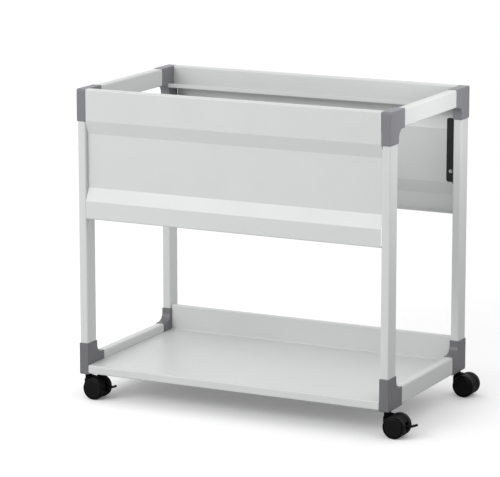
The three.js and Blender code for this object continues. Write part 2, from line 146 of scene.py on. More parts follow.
def bevelPicked(width, steps, kind="EDGES"):
    bpy.ops.mesh.bevel(offset=width, segments=steps, affect=kind)


def applied(piece, kind, **settings):
    activate(piece)
    modifier = piece.modifiers.new(kind.lower(), kind)
    for setting, value in settings.items():
        setattr(modifier, setting, value)
    bpy.ops.object.modifier_apply(modifier=modifier.name)


rimOnly = 80  # degrees, for a bevel that takes the rims of a round bar and not its sides


def softened(piece, width, segments=2, angle=50):
    applied(piece, "BEVEL", width=width, segments=segments, limit_method="ANGLE",
            angle_limit=math.radians(angle))


def thickened(piece, wall):  # inwards, from the faces that are there
    applied(piece, "SOLIDIFY", thickness=wall, offset=-1, use_even_offset=True)


def carved(piece, tool, operation="DIFFERENCE"):
    applied(piece, "BOOLEAN", object=tool, operation=operation, solver="EXACT")
    bpy.data.objects.remove(tool)


def facedOutwards(piece):
    mesh = bmesh.new()
    mesh.from_mesh(piece.data)
    insideOut = mesh.calc_volume(signed=True) < 0
    mesh.free()
    if insideOut:
        startEdit(piece)
        pickAll()
        bpy.ops.mesh.flip_normals()
        endEdit()


# adding and placing

def added(name):  # what was added last
    piece = bpy.context.active_object
    piece.name = name
    return piece


def fixPlace():  # the place, turn and size go into the mesh
    bpy.ops.object.transform_apply(location=True, rotation=True, scale=True)


def newBox(name, low, high):
    clearSelection()
    low, high = Vector(low), Vector(high)
    bpy.ops.mesh.primitive_cube_add(size=1, location=(low + high) / 2)
    piece = added(name)
    piece.scale = high - low
    fixPlace()
    return piece


def newRound(name, radius, start, end, sides=roundSides):  # a round bar from one point to another
    clearSelection()
    start, end = Vector(start), Vector(end)
    turn = (end - start).to_track_quat("Z", "Y").to_euler()
    bpy.ops.mesh.primitive_cylinder_add(vertices=sides, radius=radius, depth=(end - start).length,
                                        location=(start + end) / 2, rotation=turn)
    piece = added(name)
    fixPlace()
    return piece


def centreOf(node):
    return [(low + high) / 2 for low, high in zip(*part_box(node))]


def nameOf(node):
    first, *rest = node.split("_")
    return first + "".join(word.capitalize() for word in rest)


smoothing = {"angle": 32, "faceWeight": 60}


def place(model, node, flip=(1, 1, 1), shift=(0, 0, 0)):
    activate(model)
    bpy.ops.object.duplicate()
    piece = added(nameOf(node))
    piece.data.name = piece.name
    piece.scale = flip
    piece.location = shift
    fixPlace()
    facedOutwards(piece)
    activate(piece)
    bpy.ops.object.shade_smooth_by_angle(angle=math.radians(smoothing["angle"]))
    applied(piece, "WEIGHTED_NORMAL", keep_sharp=True, weight=smoothing["faceWeight"])
    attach(piece, frame["nodes"][node]["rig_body"])
    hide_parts(node)
    return piece


def placeAll(model, ending, places):  # the model is the one at the rear, the right or both
    for where, (sideX, sideY) in places.items():
        shift = (middleX * (1 - sideX), 0, 0)
        place(model, f"{where}_{ending}", flip=(sideX, sideY, 1), shift=shift)
    bpy.data.objects.remove(model)


# camera, floor and light

view = {"place": (2.6473, -5.4776, 1.6095), "aim": (-0.0887, 0.0, 0.3555), "farthest": 100,
        "lens": 201.0, "sensor": 36}  # these two in millimetres
studio = {"floorSize": 60, "floorShade": 0.97, "floorBounce": 0.58, "floorGlow": 0.1,
          "floorRough": 0.9, "floorSpecular": 0.1,
          "sky": 1.55, "overhead": 0.62, "overheadFrom": 0.3,
          "darkSide": 0.3, "darkTowards": (0.8, 0.0, -0.6), "darkFrom": -0.05, "darkTo": 0.9}
softboxes = {  # place, what it points at, size, power, spread in degrees
    "rightSoftbox": ((1.0, -0.05, 0.84), (0.34, 0, 0.68), (0.3, 0.3), 0.6, 70),
    "frontSoftbox": ((-1.25, -2.7, 1.9), (-0.03, -0.2, 0.47), (1.6, 1.0), 31, 180)}
scene = bpy.context.scene


def pointAt(thing, aim):
    thing.rotation_euler = (Vector(aim) - thing.location).to_track_quat("-Z", "Y").to_euler()


def makeCamera():
    bpy.ops.object.camera_add(location=view["place"])
    camera = bpy.context.active_object
    pointAt(camera, view["aim"])
    camera.data.sensor_width = view["sensor"]
    camera.data.lens = view["lens"]
    camera.data.clip_end = view["farthest"]
    scene.camera = camera
    scene.view_settings.view_transform = "Standard"


def setSockets(node, settings):
    for socket, value in settings.items():
        node.inputs[socket].default_value = value


def newNode(tree, kind, settings=None, **fields):
    node = tree.nodes.new(kind)
    for field, value in fields.items():
        setattr(node, field, value)
    setSockets(node, settings or {})
    return node


def makeSky():
    world = bpy.data.worlds.new("studioSky")
    scene.world = world
    world.use_nodes = True
    tree = world.node_tree
    tree.nodes.clear()
    where = newNode(tree, "ShaderNodeTexCoord")
    side = newNode(tree, "ShaderNodeVectorMath", {1: studio["darkTowards"]}, operation="DOT_PRODUCT")
    shade = newNode(tree, "ShaderNodeMapRange", {
        "From Min": studio["darkFrom"], "From Max": studio["darkTo"],
        "To Min": studio["sky"], "To Max": studio["darkSide"]})
    height = newNode(tree, "ShaderNodeSeparateXYZ")
    dimming = newNode(tree, "ShaderNodeMapRange", {  # less light from straight above
        "From Min": studio["overheadFrom"], "From Max": 1, "To Min": 1, "To Max": studio["overhead"]})
    light = newNode(tree, "ShaderNodeMath", operation="MULTIPLY")
    back = newNode(tree, "ShaderNodeBackground")
    out = newNode(tree, "ShaderNodeOutputWorld")
    tree.links.new(where.outputs["Generated"], side.inputs[0])
    tree.links.new(where.outputs["Generated"], height.inputs["Vector"])
    tree.links.new(side.outputs["Value"], shade.inputs["Value"])
    tree.links.new(height.outputs["Z"], dimming.inputs["Value"])
    tree.links.new(shade.outputs["Result"], light.inputs[0])
    tree.links.new(dimming.outputs["Result"], light.inputs[1])
    tree.links.new(light.outputs["Value"], back.inputs["Strength"])
    tree.links.new(back.outputs["Background"], out.inputs["Surface"])


def makeFloor():  # the camera sees it lighter than it lights the cart
    clearSelection()
    bpy.ops.mesh.primitive_plane_add(size=studio["floorSize"])
    floor = added("studioFloor")
    material = bpy.data.materials.new("studioFloor")
    material.use_nodes = True
    tree = material.node_tree
    shader = tree.nodes["Principled BSDF"]
    setSockets(shader, {"Roughness": studio["floorRough"], "Specular IOR Level": studio["floorSpecular"],
                        "Emission Color": (1, 1, 1, 1)})
    path = newNode(tree, "ShaderNodeLightPath")
    shade = newNode(tree, "ShaderNodeMix", {"A": studio["floorBounce"], "B": studio["floorShade"]})
    glow = newNode(tree, "ShaderNodeMath", {1: studio["floorGlow"]}, operation="MULTIPLY")
    tree.links.new(path.outputs["Is Camera Ray"], shade.inputs["Factor"])
    tree.links.new(path.outputs["Is Camera Ray"], glow.inputs[0])
    tree.links.new(shade.outputs["Result"], shader.inputs["Base Color"])
    tree.links.new(glow.outputs["Value"], shader.inputs["Emission Strength"])
    floor.data.materials.append(material)


def addSoftbox(name, spot, aim, size, power, spread):
    clearSelection()
    bpy.ops.object.light_add(type="AREA", location=spot)
    light = added(name)
    pointAt(light, aim)
    light.data.shape = "RECTANGLE"
    light.data.size, light.data.size_y = size
    light.data.energy = power
    light.data.spread = math.radians(spread)
    light.visible_camera = False


makeCamera()
makeSky()
makeFloor()
for name, softbox in softboxes.items():
    addSoftbox(name, *softbox)
print("camera, floor and light ready")


# finishes: one group for uneven colour and gloss, one for fine texture, one for rubbed edges

coarseShare = 0.31  # the coarse grain's scale, as a share of the fine one's
edgeRub = {"samples": 4, "flat": 0.995, "bent": 0.85}  # rubbing starts at the cosine flat, is full at bent


def newGroup(name, inputs, outputs):
    group = bpy.data.node_groups.new(name, "ShaderNodeTree")
    for label, value in inputs.items():
        socket = group.interface.new_socket(name=label, in_out="INPUT", socket_type="NodeSocketFloat")
        socket.default_value = value
    for label in outputs:
        group.interface.new_socket(name=label, in_out="OUTPUT", socket_type="NodeSocketFloat")
    return group, group.nodes.new("NodeGroupInput"), group.nodes.new("NodeGroupOutput")


def noiseIn(group, scale, detail):  # scale is a socket
    where = newNode(group, "ShaderNodeTexCoord")
    noise = newNode(group, "ShaderNodeTexNoise", {"Detail": detail})
    group.links.new(where.outputs["Object"], noise.inputs["Vector"])
    group.links.new(scale, noise.inputs["Scale"])
    return noise.outputs["Fac"]


def makeMottle():
    group, start, end = newGroup("unevenCoat", {"Scale": 12, "Amount": 0.02}, ["Shade", "Spread"])
    spread = newNode(group, "ShaderNodeMapRange",
                     {"From Min": 0.3, "From Max": 0.7, "To Min": -1, "To Max": 1})
    shade = newNode(group, "ShaderNodeMath", {2: 1}, operation="MULTIPLY_ADD")
    group.links.new(noiseIn(group, start.outputs["Scale"], detail=4), spread.inputs["Value"])
    group.links.new(spread.outputs["Result"], shade.inputs[0])
    group.links.new(start.outputs["Amount"], shade.inputs[1])
    group.links.new(shade.outputs["Value"], end.inputs["Shade"])
    group.links.new(spread.outputs["Result"], end.inputs["Spread"])
    return group


def makeGrain():
    group, start, end = newGroup("fineTexture", {"Scale": 1500, "Coarse": 0.5}, ["Height"])
    wider = newNode(group, "ShaderNodeMath", {1: coarseShare}, operation="MULTIPLY")
    blend = newNode(group, "ShaderNodeMix")
    group.links.new(start.outputs["Scale"], wider.inputs[0])
    group.links.new(start.outputs["Coarse"], blend.inputs["Factor"])
    group.links.new(noiseIn(group, start.outputs["Scale"], detail=2), blend.inputs["A"])
    group.links.new(noiseIn(group, wider.outputs["Value"], detail=2), blend.inputs["B"])
    group.links.new(blend.outputs["Result"], end.inputs["Height"])
    return group


def makeEdgeRub():
    group, start, end = newGroup("rubbedEdges", {"Reach": 1 * mm, "Amount": 0.2, "Scale": 200}, ["Mask"])
    around = newNode(group, "ShaderNodeBevel", samples=edgeRub["samples"])
    surface = newNode(group, "ShaderNodeNewGeometry")
    same = newNode(group, "ShaderNodeVectorMath", operation="DOT_PRODUCT")
    bent = newNode(group, "ShaderNodeMapRange",
                   {"From Min": edgeRub["flat"], "From Max": edgeRub["bent"], "To Min": 0, "To Max": 1})
    patchy = newNode(group, "ShaderNodeMath", operation="MULTIPLY")
    amount = newNode(group, "ShaderNodeMath", operation="MULTIPLY", use_clamp=True)
    group.links.new(start.outputs["Reach"], around.inputs["Radius"])
    group.links.new(around.outputs["Normal"], same.inputs[0])
    group.links.new(surface.outputs["Normal"], same.inputs[1])
    group.links.new(same.outputs["Value"], bent.inputs["Value"])
    group.links.new(bent.outputs["Result"], patchy.inputs[0])
    group.links.new(noiseIn(group, start.outputs["Scale"], detail=3), patchy.inputs[1])
    group.links.new(patchy.outputs["Value"], amount.inputs[0])
    group.links.new(start.outputs["Amount"], amount.inputs[1])
    group.links.new(amount.outputs["Value"], end.inputs["Mask"])
    return group


mottleGroup, grainGroup, edgeGroup = makeMottle(), makeGrain(), makeEdgeRub()
colourA, colourB, colourOut = 6, 7, 2  # a Mix node's colour sockets


def newFinish(name, finish):
    material = bpy.data.materials.new(name)
    material.use_nodes = True
    tree = material.node_tree
    shader = tree.nodes["Principled BSDF"]
    setSockets(shader, finish["plain"])
    uneven = newNode(tree, "ShaderNodeGroup", finish["uneven"], node_tree=mottleGroup)
    edges = newNode(tree, "ShaderNodeGroup", finish["edges"], node_tree=edgeGroup)
    texture = newNode(tree, "ShaderNodeGroup", finish["texture"], node_tree=grainGroup)
    tint = newNode(tree, "ShaderNodeMix", {"Factor": 1, colourA: (*finish["colour"], 1)},
                   data_type="RGBA", blend_type="MULTIPLY")
    rubbed = newNode(tree, "ShaderNodeMix", {colourB: (*finish["rubbedColour"], 1)}, data_type="RGBA")
    gloss = newNode(tree, "ShaderNodeMath", {1: finish["roughSpread"], 2: finish["rough"]},
                    operation="MULTIPLY_ADD")
    bump = newNode(tree, "ShaderNodeBump", {"Strength": finish["bump"], "Distance": finish["bumpDepth"]})
    tree.links.new(uneven.outputs["Shade"], tint.inputs[colourB])
    tree.links.new(tint.outputs[colourOut], rubbed.inputs[colourA])
    tree.links.new(edges.outputs["Mask"], rubbed.inputs["Factor"])
    tree.links.new(rubbed.outputs[colourOut], shader.inputs["Base Color"])
    tree.links.new(uneven.outputs["Spread"], gloss.inputs[0])
    tree.links.new(gloss.outputs["Value"], shader.inputs["Roughness"])
    tree.links.new(texture.outputs["Height"], bump.inputs["Height"])
    tree.links.new(bump.outputs["Normal"], shader.inputs["Normal"])
    return material


paint = newFinish("lightGreyPowderCoat", {
    "colour": (0.60, 0.61, 0.605), "rubbedColour": (0.70, 0.71, 0.705), "rough": 0.36, "roughSpread": 0.05,
    "plain": {"Specular IOR Level": 0.5},
    "uneven": {"Scale": 9, "Amount": 0.012}, "edges": {"Reach": 0.8 * mm, "Amount": 0.5, "Scale": 150},
    "texture": {"Scale": 1400, "Coarse": 0.6}, "bump": 0.25, "bumpDepth": 0.15 * mm})
greyMoulding = {
    "colour": (0.180, 0.180, 0.200), "rubbedColour": (0.27, 0.27, 0.29), "rough": 0.44, "roughSpread": 0.06,
    "plain": {"Specular IOR Level": 0.6},
    "uneven": {"Scale": 25, "Amount": 0.03}, "edges": {"Reach": 1.2 * mm, "Amount": 0.5, "Scale": 250},
    "texture": {"Scale": 2600, "Coarse": 0.3}, "bump": 0.35, "bumpDepth": 0.12 * mm}
greyPlastic = newFinish("greyMoulding", greyMoulding)
shadedGreyPlastic = newFinish("shadedGreyMoulding", {  # painted shade: the corners that take the castors get a darker copy of the same grey, for the shade near the floor
    **greyMoulding, "colour": (0.135, 0.134, 0.145), "rubbedColour": (0.2, 0.2, 0.21)})
blackMoulding = {
    "colour": (0.001, 0.0011, 0.0013), "rubbedColour": (0.02, 0.02, 0.021), "rough": 0.2,
    "roughSpread": 0.06, "plain": {"Specular IOR Level": 0.2},
    "uneven": {"Scale": 60, "Amount": 0.12}, "edges": {"Reach": 0.8 * mm, "Amount": 0.8, "Scale": 400},
    "texture": {"Scale": 2200, "Coarse": 0.4}, "bump": 0.25, "bumpDepth": 0.1 * mm}
blackPlastic = newFinish("blackMoulding", blackMoulding)
hoodPlastic = newFinish("mattBlackMoulding", {  # the castors' hoods are duller than their wheels
    **blackMoulding, "rough": 0.45, "plain": {"Specular IOR Level": 0.05}})
treadPlastic = newFinish("blackTread", {
    "colour": (0.004, 0.0041, 0.0043), "rubbedColour": (0.02, 0.0195, 0.019), "rough": 0.55,
    "roughSpread": 0.12, "plain": {"Specular IOR Level": 0.11},
    "uneven": {"Scale": 120, "Amount": 0.25}, "edges": {"Reach": 1 * mm, "Amount": 0.6, "Scale": 500},
    "texture": {"Scale": 1300, "Coarse": 0.7}, "bump": 0.5, "bumpDepth": 0.2 * mm})
# the brackets are near black
nearBlackBracket = newFinish("nearBlackBracketFinish", {
    "colour": (0.01, 0.01, 0.011), "rubbedColour": (0.06, 0.06, 0.062), "rough": 0.5, "roughSpread": 0.08,
    "plain": {"Specular IOR Level": 0.35},
    "uneven": {"Scale": 40, "Amount": 0.1}, "edges": {"Reach": 0.6 * mm, "Amount": 0.7, "Scale": 300},
    "texture": {"Scale": 1500, "Coarse": 0.5}, "bump": 0.25, "bumpDepth": 0.12 * mm})
zinc = newFinish("zincPlate", {
    "colour": (0.55, 0.57, 0.585), "rubbedColour": (0.7, 0.71, 0.72), "rough": 0.34, "roughSpread": 0.1,
    "plain": {"Metallic": 1.0},
    "uneven": {"Scale": 140, "Amount": 0.08}, "edges": {"Reach": 0.5 * mm, "Amount": 0.6, "Scale": 600},
    "texture": {"Scale": 3000, "Coarse": 0.5}, "bump": 0.2, "bumpDepth": 0.08 * mm})
print("finishes ready")


# folded sheet metal: an edge is drawn out fold by fold, its folds are rounded, then it is thickened

foldSteps = 5
cornerSteps = 6


def foldTurn(line, i):
    (y0, z0), (y1, z1), (y2, z2) = line[i - 1:i + 2]
    return math.atan2((y1 - y0) * (z2 - z1) - (z1 - z0) * (y2 - y1),
                      (y1 - y0) * (y2 - y1) + (z1 - z0) * (z2 - z1))


def roundFold(fold, radius, turn=math.pi / 2):
    pick("EDGE", edgeAlongX(*fold))
    bevelPicked(radius * math.tan(abs(turn) / 2), foldSteps)


def faceFromMetal(piece, line):  # the metal goes to the left of the line's first stretch
    mesh = bmesh.from_edit_mesh(piece.data)
    left = Vector((0, line[0][1] - line[1][1], line[1][0] - line[0][0]))
    atStart = min(mesh.faces, key=lambda f: (f.calc_center_median() - Vector((0, *line[0]))).yz.length)
    atStart.normal_update()
    if atStart.normal.dot(left) > 0:
        pickAll()
        bpy.ops.mesh.flip_normals()


def foldSheet(name, line, lowX, highX, folds, roundEnds=(True, True)):  # line holds (y, z)
    clearSelection()
    length = highX - lowX
    bpy.ops.mesh.primitive_plane_add(size=length, location=((lowX + highX) / 2, 0, 0))
    piece = added(name)
    fixPlace()
    startEdit(piece)
    pick("VERT", lambda v: v.co.y > 0)
    bpy.ops.mesh.delete(type="VERT")  # one edge is left
    pickAll()
    bpy.ops.transform.translate(value=(0, line[0][0] + length / 2, line[0][1]))
    for (fromY, fromZ), (toY, toZ) in zip(line, line[1:]):
        extrude(y=toY - fromY, z=toZ - fromZ)
    for i in range(1, len(line) - 1):
        turn = foldTurn(line, i)
        radius = folds["bend"] + folds["sheet"] if turn > 0 else folds["bend"]
        roundFold(line[i], radius, turn)
    for (endY, endZ), wanted in zip((line[0], line[-1]), roundEnds):
        if wanted and "corner" in folds:
            pick("VERT", lambda v: near(v.co.y, endY) and near(v.co.z, endZ))
            bevelPicked(folds["corner"], cornerSteps, "VERTICES")
    faceFromMetal(piece, line)
    endEdit()
    thickened(piece, folds["sheet"])
    return piece


# posts and rails of rectangular tube

tube = {"wall": 1.5 * mm, "corner": 4 * mm, "steps": 6, "edge": 0.25 * mm}


def makeTube(name, node, axis):
    piece = newBox(name, *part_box(node))
    startEdit(piece)
    pick("FACE", lambda f: abs(f.normal[axis]) > aligned)
    bpy.ops.mesh.delete(type="ONLY_FACE")
    pick("EDGE", lambda e: runsAlong(e, axis))
    bevelPicked(tube["corner"], tube["steps"])
    endEdit()
    thickened(piece, tube["wall"])
    softened(piece, tube["edge"])
    piece.data.materials.append(paint)
    return piece


def makeTubes():
    placeAll(makeTube("postModel", "rear_right_post", axisZ), "post", corners)
    for kind in ["end", "side"]:
        placeAll(makeTube("railModel", f"right_{kind}_rail", axisY), f"{kind}_rail", ends)


# corner connectors: an L-shaped moulding with a spigot for the post and one for the rail

connector = {"thick": 22.5 * mm, "wide": 42.5 * mm, "leg": 29.5 * mm, "arm": 31 * mm,
             "fillet": 20 * mm, "filletSteps": 10, "crown": 4 * mm, "crownSteps": 5,
             "edge": 1.8 * mm, "edgeSteps": 4, "edgeAngle": 50,
             "spigot": 30 * mm, "spigotStep": 3.05 * mm, "socket": 5.3 * mm, "socketDepth": 35 * mm}


def makeTopConnector():
    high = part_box("rear_right_top_corner")[1]
    wide = connector["wide"]
    inner = Vector((high.x - connector["thick"], high.y - wide, high.z - wide))
    legEnd, armEnd = inner.z - connector["leg"], inner.y - connector["arm"]
    piece = newBox("connectorModel", inner, high)
    startEdit(piece)
    pick("FACE", lambda f: f.normal.z < -aligned)
    extrude(z=-connector["leg"])
    pick("FACE", lambda f: f.normal.y < -aligned and f.calc_center_median().z > inner.z)
    extrude(y=-connector["arm"])
    pick("EDGE", edgeAlongX(inner.y, inner.z))
    bevelPicked(connector["fillet"], connector["filletSteps"])
    pick("EDGE", edgeAlongX(high.y, high.z))
    bevelPicked(connector["crown"], connector["crownSteps"])
    bpy.ops.mesh.select_mode(type="EDGE")
    bpy.ops.mesh.select_all(action="DESELECT")
    bpy.ops.mesh.edges_select_sharp(sharpness=math.radians(connector["edgeAngle"]))
    bevelPicked(connector["edge"], connector["edgeSteps"])
    inset = connector["spigotStep"] - connector["edge"]
    pick("FACE", faceOn(axisZ, legEnd, -1))
    bpy.ops.mesh.inset(thickness=inset)
    extrude(z=-connector["spigot"])
    pick("FACE", faceOn(axisY, armEnd, -1))
    bpy.ops.mesh.inset(thickness=inset)
    extrude(y=-connector["spigot"])
    endEdit()
    piece.data.materials.append(greyPlastic)
    return piece


def makeBottomConnector(top):  # the top one upside down, with a socket for the castor's stem
    activate(top)
    bpy.ops.object.duplicate()
    piece = bpy.context.active_object
    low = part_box("rear_right_bottom_corner")[0].z
    piece.scale = (1, 1, -1)
    piece.location = (0, 0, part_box("rear_right_top_corner")[1].z + low)
    fixPlace()
    facedOutwards(piece)
    x, y, _ = centreOf("rear_right_castor_stem")
    socketTop = low + connector["socketDepth"]
    carved(piece, newRound("socket", connector["socket"], (x, y, 0), (x, y, socketTop)))
    # painted shade: the bottom corners take the darker copy of the grey
    piece.data.materials[0] = shadedGreyPlastic
    return piece


def makeConnectors():
    top = makeTopConnector()
    bottom = makeBottomConnector(top)
    placeAll(top, "top_corner", corners)
    placeAll(bottom, "bottom_corner", corners)


# front and rear panels, with the weld studs behind the recess

panelFolds = {"sheet": 1.2 * mm, "bend": 2 * mm, "topBand": 70 * mm, "bottomBand": 40 * mm,
              "slant": 30 * mm, "recess": 11 * mm, "topReturn": 20 * mm, "lip": 44 * mm,
              "bottomReturn": 15 * mm, "edge": 0.25 * mm, "notchGap": 0.3 * mm,
              "stud": 2.5 * mm, "studEdge": 0.5 * mm, "studSides": 24}


def makePanel():
    folds = panelFolds
    low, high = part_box("rear_panel")
    outer, top, bottom = high.y, high.z, low.z
    field = outer - folds["recess"]
    recessLow = bottom + folds["bottomBand"] + folds["slant"]
    recessHigh = top - folds["topBand"] - folds["slant"]
    line = [(outer - folds["bottomReturn"], bottom), (outer, bottom), (outer, bottom + folds["bottomBand"]),
            (field, recessLow), (field, recessHigh), (outer, top - folds["topBand"]), (outer, top),
            (outer - folds["topReturn"], top), (outer - folds["topReturn"], top - folds["lip"])]
    panel = foldSheet("panelModel", line, low.x, high.x, folds)
    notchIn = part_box("rear_right_top_corner")[1].x - connector["thick"] - folds["notchGap"] - middleX
    notchLow = top - connector["wide"] - connector["leg"] - folds["notchGap"]
    notchOut = high.x + past - middleX
    for side, _ in ends.values():  # room for the top connectors
        lowX, highX = sorted((middleX + side * notchIn, middleX + side * notchOut))
        carved(panel, newBox("notch", (lowX, low.y - past, notchLow), (highX, outer + past, top + past)))
    softened(panel, folds["edge"])
    for end in ends:
        x, _, z = centreOf(f"rear_{end}_panel_nut")
        stud = newRound("stud", folds["stud"], (x, field - folds["sheet"] / 2, z), (x, low.y, z),
                        folds["studSides"])
        softened(stud, folds["studEdge"], angle=rimOnly)
        carved(panel, stud, "UNION")
    panel.data.materials.append(paint)
    placeAll(panel, "panel", faces)


# hanging rails, folded up behind the panels' lips

hangingFolds = {"sheet": 1.5 * mm, "bend": 1.5 * mm, "hook": 10 * mm, "edge": 0.3 * mm}


def makeHangingRail():
    low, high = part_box("rear_hanging_rail")
    line = [(low.y, low.z + hangingFolds["hook"]), (low.y, low.z), (high.y, low.z), (high.y, high.z)]
    rail = foldSheet("hangingRailModel", line, low.x, high.x, hangingFolds)
    softened(rail, hangingFolds["edge"])
    rail.data.materials.append(paint)
    placeAll(rail, "hanging_rail", faces)


# shelf: a tray with a front flange, a rear upstand and side flanges between the connectors

shelfFolds = {"sheet": 1.2 * mm, "bend": 2 * mm, "surface": 78.6 * mm, "notch": 1.25 * mm, "hem": 14 * mm,
              "upstandReturn": 12 * mm, "upstandHem": 8 * mm, "sideBend": 1.125 * mm, "sideSteps": 4,
              "edge": 0.25 * mm}


def makeShelf():
    folds = shelfFolds
    low, high = shelfLow, shelfHigh
    surface = folds["surface"]
    half = (high.x - low.x) / 2
    inner = half - folds["notch"]
    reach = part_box("right_side_rail")[1].y  # the side flanges end where the rails do
    back = high.y - folds["upstandReturn"]
    clearSelection()
    bpy.ops.mesh.primitive_plane_add(size=1, location=(middleX, (low.y + back) / 2, surface))
    shelf = added("shelfModel")
    shelf.scale = (high.x - low.x, back - low.y, 1)
    fixPlace()
    startEdit(shelf)
    cuts = [((middleX, side * reach, surface), (0, 1, 0)) for side in (-1, 1)]
    cuts += [((side, 0, surface), (1, 0, 0)) for side in (low.x + folds["notch"], high.x - folds["notch"])]
    for point, normal in cuts:
        pickAll()
        bpy.ops.mesh.bisect(plane_co=point, plane_no=normal)
    pick("FACE", lambda f: abs(f.calc_center_median().x - middleX) > inner
         and abs(f.calc_center_median().y) > reach)
    bpy.ops.mesh.delete(type="FACE")
    pick("EDGE", lambda e: near(abs(middleOf(e).x - middleX), half))
    extrude(z=low.z - surface)
    pick("EDGE", edgeIn(axisY, low.y))
    extrude(z=low.z - surface)
    extrude(y=folds["hem"])
    pick("EDGE", edgeIn(axisY, back))
    extrude(z=high.z - surface)
    extrude(y=folds["upstandReturn"])
    extrude(z=-folds["upstandHem"])
    outside, inside = folds["bend"] + folds["sheet"], folds["bend"]
    for fold, radius in [((low.y, surface), outside), ((low.y, low.z), outside), ((back, surface), inside),
                         ((back, high.z), outside), ((high.y, high.z), outside)]:
        roundFold(fold, radius)
    pick("EDGE", lambda e: near(abs(middleOf(e).x - middleX), half) and near(middleOf(e).z, surface))
    bevelPicked(folds["sideBend"], folds["sideSteps"])
    mesh = bmesh.from_edit_mesh(shelf.data)
    if sum(f.normal.z * f.calc_area() for f in mesh.faces) < 0:
        pickAll()
        bpy.ops.mesh.flip_normals()
    endEdit()
    thickened(shelf, folds["sheet"])
    softened(shelf, folds["edge"])
    shelf.data.materials.append(paint)
    tray = place(shelf, "shelf")
    tray.name = tray.data.name = "shelfTray"  # the CAD node has the plain name
    bpy.data.objects.remove(shelf)


# panel brackets: angles between the posts and the backs of the panels

bracketFolds = {"sheet": 2 * mm, "bend": 2 * mm, "corner": 5 * mm, "edge": 0.3 * mm}


def makeBracket():
    low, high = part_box("rear_right_panel_bracket")
    line = [(high.x, low.y), (high.x, high.y), (low.x, high.y)]  # drawn in X and Y, the length along Z
    bracket = foldSheet("bracketModel", line, low.z, high.z, bracketFolds)
    bracket.rotation_mode = "AXIS_ANGLE"
    bracket.rotation_axis_angle = (-2 * math.pi / 3, 1, 1, 1)  # X goes to Z, Y to X and Z to Y
    activate(bracket)
    fixPlace()
    softened(bracket, bracketFolds["edge"])
    bracket.data.materials.append(nearBlackBracket)
    placeAll(bracket, "panel_bracket", corners)


# pan-head screws with a cross recess, and the nuts on the panels' studs

screw = {"headHeight": 3 * mm, "headRound": 1.3 * mm, "headSteps": 4, "headSides": 40,
         "shank": 2.5 * mm, "shankSides": 24, "edge": 0.5 * mm,
         "crossLong": 2.5 * mm, "crossWide": 0.55 * mm, "crossDeep": 1.6 * mm}
nut = {"sides": 6, "edge": 0.4 * mm, "bore": 2.8 * mm, "boreSides": 32}


def makeScrew(node):
    low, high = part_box(node)
    _, y, z = centreOf(node)
    seat = low.x + screw["headHeight"]
    piece = newRound("screwModel", (high.y - low.y) / 2, (low.x, y, z), (seat, y, z), screw["headSides"])
    startEdit(piece)
    pick("EDGE", edgeIn(axisX, low.x))
    bevelPicked(screw["headRound"], screw["headSteps"])
    endEdit()
    shank = newRound("shank", screw["shank"], (seat - screw["edge"], y, z), (high.x, y, z),
                     screw["shankSides"])
    softened(shank, screw["edge"], segments=1, angle=rimOnly)
    carved(piece, shank, "UNION")
    long, wide = screw["crossLong"], screw["crossWide"]
    outside, bottom = low.x - past, low.x + screw["crossDeep"]
    for halfY, halfZ in [(long, wide), (wide, long)]:
        carved(piece, newBox("cross", (outside, y - halfY, z - halfZ), (bottom, y + halfY, z + halfZ)))
    piece.data.materials.append(zinc)
    return piece


def makeNut():
    low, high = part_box("rear_right_panel_nut")
    x, _, z = centreOf("rear_right_panel_nut")
    piece = newRound("nutModel", (high.z - low.z) / 2, (x, low.y, z), (x, high.y, z), nut["sides"])
    softened(piece, nut["edge"])
    carved(piece, newRound("nutBore", nut["bore"], (x, low.y - past, z), (x, high.y + past, z),
                           nut["boreSides"]))
    piece.data.materials.append(zinc)
    return piece


def makeFasteners():
    for ending in ["bracket_screw", "shelf_screw"]:
        placeAll(makeScrew(f"rear_right_{ending}"), ending, corners)
    placeAll(makeNut(), "panel_nut", corners)


# twin-wheel castors, modelled about the swivel axis and trailing along +X

axle = (22.5 * mm, 25 * mm)  # its place in X and Z
wheelSides = 72


def swivelAxis(corner):
    x, y, _ = centreOf(f"{corner}_castor_stem")
    return x, y, 0


def newCrossBar(name, radius, at, half, sides=roundSides):  # across the castor, at a place in X and Z
    x, z = at
    return newRound(name, radius, (x, -half, z), (x, half, z), sides)


stem = {"radius": 5 * mm, "edge": 0.4 * mm, "collarRadius": 7 * mm, "collarLow": 54.5 * mm,
        "collarHigh": 55.7 * mm, "collarEdge": 0.2 * mm}


def makeStem():
    low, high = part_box("rear_right_castor_stem")
    piece = newRound("stemModel", stem["radius"], (0, 0, low.z), (0, 0, high.z))
    softened(piece, stem["edge"], angle=rimOnly)
    collar = newRound("collar", stem["collarRadius"], (0, 0, stem["collarLow"]), (0, 0, stem["collarHigh"]))
    softened(collar, stem["collarEdge"], angle=rimOnly)
    carved(piece, collar, "UNION")
    piece.data.materials.append(zinc)
    return piece


wheel = {"innerRound": 1.5 * mm, "outerRound": 2.4 * mm, "roundSteps": 5, "land": 0.2 * mm,
         "grooveDeep": 3 * mm, "grooveWide": 1.5 * mm, "discRise": 0.8 * mm, "discRing": 2.4 * mm,
         "discRound": 2.16 * mm, "dishRing": 2 * mm, "dishDeep": 0.45 * mm,
         "bore": 3.3 * mm, "boreDeep": 9.9 * mm, "treadDeep": 1.5 * mm, "treadSlope": 0.8}


